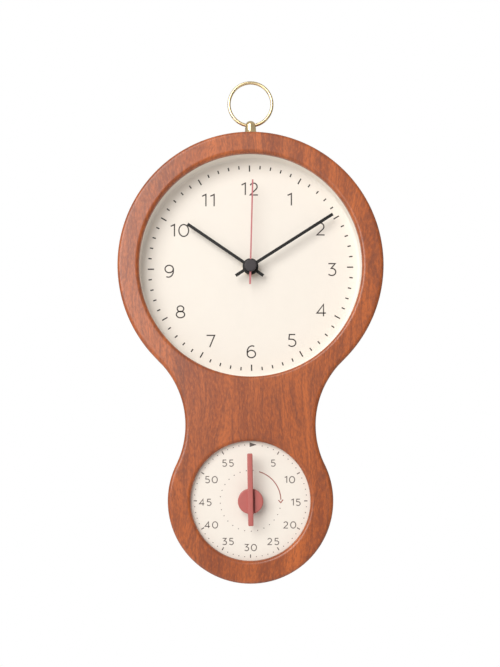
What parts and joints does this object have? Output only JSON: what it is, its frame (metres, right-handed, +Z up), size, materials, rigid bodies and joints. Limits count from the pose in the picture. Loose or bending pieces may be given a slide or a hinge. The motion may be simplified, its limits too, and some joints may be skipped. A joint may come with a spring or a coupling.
{
  "type": "wall clock with kitchen timer",
  "caption": "Wooden wall clock of two joined round lobes: a quartz clock dial above, a wind-up minute timer with a bar knob below, and a brass hanging ring on top.",
  "frame": {"origin": "on the wooden body's flat back, at the wall plane, at the height where the waist is narrowest", "axes": "+Z up, dials facing -Y, wall plane Y = 0, +X to the right as the clock is read"},
  "size_m": [0.2, 0.0476, 0.3844],
  "materials": {
    "cherry_wood": "satin oiled",
    "cream_dial": "satin moulded",
    "black_lacquered_metal": "satin lacquer",
    "red_lacquered_metal": "satin lacquer",
    "charcoal_cap": "satin moulded",
    "coral_knob": "satin moulded",
    "polished_brass": "polished",
    "turned_brass": "turned",
    "black_abs": "fine spark texture",
    "white_acetal": "moulded",
    "copper_winding": "enamelled copper wire",
    "circuit_board": "solder mask",
    "rubber": "matte",
    "battery_sleeve": "printed sleeve",
    "hardboard": "pressed fibre",
    "bell_steel": "nickel plated",
    "zinc_plated_steel": "zinc plated"
  },
  "bodies": {
    "case": {"battery": "battery_sleeve", "bell": "bell_steel", "bell_post": "turned_brass", "bell_screw": "zinc_plated_steel", "circuit_board": "circuit_board", "clock_back_board": "hardboard", "clock_board_screw_1": "zinc_plated_steel", "clock_board_screw_2": "zinc_plated_steel", "clock_board_screw_3": "zinc_plated_steel", "clock_board_screw_4": "zinc_plated_steel", "clock_dial": "cream_dial", "coil": "copper_winding", "dial_nut": "turned_brass", "dial_washer": "rubber", "frame_pillar_1": "turned_brass", "frame_pillar_2": "turned_brass", "frame_pillar_3": "turned_brass", "hanger_post": "polished_brass", "mainspring": "zinc_plated_steel", "movement_case": "black_abs", "movement_cover": "black_abs", "negative_contact": "zinc_plated_steel", "positive_contact": "zinc_plated_steel", "stator": "zinc_plated_steel", "timer_back_board": "hardboard", "timer_back_plate": "zinc_plated_steel", "timer_board_screw_1": "zinc_plated_steel", "timer_board_screw_2": "zinc_plated_steel", "timer_board_screw_3": "zinc_plated_steel", "timer_dial": "cream_dial", "timer_front_plate": "zinc_plated_steel", "timer_nut": "zinc_plated_steel", "wooden_body": "cherry_wood"},
    "ring": {"hanging_ring": "polished_brass"},
    "minute": {"minute_hand": "black_lacquered_metal", "cannon_pinion": "turned_brass"},
    "hour": {"hour_hand": "black_lacquered_metal", "hour_wheel": "white_acetal"},
    "motion": {"minute_wheel": "white_acetal"},
    "setting": {"setting_knob": "white_acetal"},
    "second": {"second_hand": "red_lacquered_metal", "second_hand_cap": "charcoal_cap", "second_wheel": "white_acetal"},
    "centre": {"centre_wheel": "white_acetal"},
    "third": {"third_wheel": "white_acetal"},
    "step": {"step_wheel": "white_acetal"},
    "motor_rotor": {"rotor": "zinc_plated_steel"},
    "timer": {"timer_knob": "coral_knob", "timer_arbor": "zinc_plated_steel", "main_wheel": "turned_brass"},
    "timer_intermediate": {"intermediate_wheel": "turned_brass"},
    "timer_escape": {"escape_wheel": "turned_brass"},
    "pallet": {"pallet_lever": "turned_brass"},
    "hammer": {"alarm_hammer": "zinc_plated_steel"}
  },
  "joints": [
    {"name": "ring_swing", "type": "hinge", "parent": "case", "child": "ring", "pos_m": [0, -0.02, 0.23096], "axis": [1, 0, 0], "range_deg": [-90, 90]},
    {"name": "minute_turn", "type": "hinge", "parent": "case", "child": "minute", "pos_m": [0, -0.0325, 0.12036], "axis": [0, 1, 0], "continuous": true},
    {"name": "hour_turn", "type": "hinge", "parent": "case", "child": "hour", "pos_m": [0, -0.03, 0.12036], "axis": [0, 1, 0], "continuous": true},
    {"name": "motion_turn", "type": "hinge", "parent": "case", "child": "motion", "pos_m": [0.00827, -0.019, 0.12864], "axis": [0, 1, 0], "continuous": true},
    {"name": "setting_turn", "type": "hinge", "parent": "case", "child": "setting", "pos_m": [0.01655, -0.006, 0.13691], "axis": [0, 1, 0], "continuous": true},
    {"name": "second_turn", "type": "hinge", "parent": "case", "child": "second", "pos_m": [0, -0.035, 0.12036], "axis": [0, 1, 0], "continuous": true},
    {"name": "centre_turn", "type": "hinge", "parent": "case", "child": "centre", "pos_m": [0, -0.017, 0.12036], "axis": [0, 1, 0], "continuous": true},
    {"name": "third_turn", "type": "hinge", "parent": "case", "child": "third", "pos_m": [-0.0098, -0.0155, 0.12036], "axis": [0, 1, 0], "continuous": true},
    {"name": "step_turn", "type": "hinge", "parent": "case", "child": "step", "pos_m": [0, -0.013, 0.13036], "axis": [0, 1, 0], "continuous": true},
    {"name": "rotor_turn", "type": "hinge", "parent": "case", "child": "motor_rotor", "pos_m": [0, -0.011, 0.13786], "axis": [0, 1, 0], "continuous": true},
    {"name": "timer_turn", "type": "hinge", "parent": "case", "child": "timer", "pos_m": [0, -0.04, -0.05704], "axis": [0, 1, 0], "range_deg": [0, 350]},
    {"name": "timer_intermediate_turn", "type": "hinge", "parent": "case", "child": "timer_intermediate", "pos_m": [-0.01837, -0.025, -0.06372], "axis": [0, 1, 0], "range_deg": [-2100, 0]},
    {"name": "timer_escape_turn", "type": "hinge", "parent": "case", "child": "timer_escape", "pos_m": [-0.01102, -0.026, -0.07462], "axis": [0, 1, 0], "range_deg": [0, 12600]},
    {"name": "pallet_swing", "type": "hinge", "parent": "case", "child": "pallet", "pos_m": [-0.00152, -0.026, -0.07662], "axis": [0, 1, 0], "range_deg": [-5, 5]},
    {"name": "hammer_swing", "type": "hinge", "parent": "case", "child": "hammer", "pos_m": [0.02024, -0.0175, -0.0685], "axis": [0, 1, 0], "range_deg": [-6, 0]}
  ],
  "couplings": [
    {"joint": "hour_turn", "follows": "minute_turn", "ratio": 0.083333},
    {"joint": "motion_turn", "follows": "minute_turn", "ratio": -0.33333},
    {"joint": "setting_turn", "follows": "minute_turn", "ratio": 1},
    {"joint": "centre_turn", "follows": "second_turn", "ratio": 0.016667},
    {"joint": "third_turn", "follows": "second_turn", "ratio": -0.125},
    {"joint": "step_turn", "follows": "second_turn", "ratio": -6},
    {"joint": "rotor_turn", "follows": "second_turn", "ratio": 30},
    {"joint": "timer_intermediate_turn", "follows": "timer_turn", "ratio": -6},
    {"joint": "timer_escape_turn", "follows": "timer_turn", "ratio": 36}
  ]
}
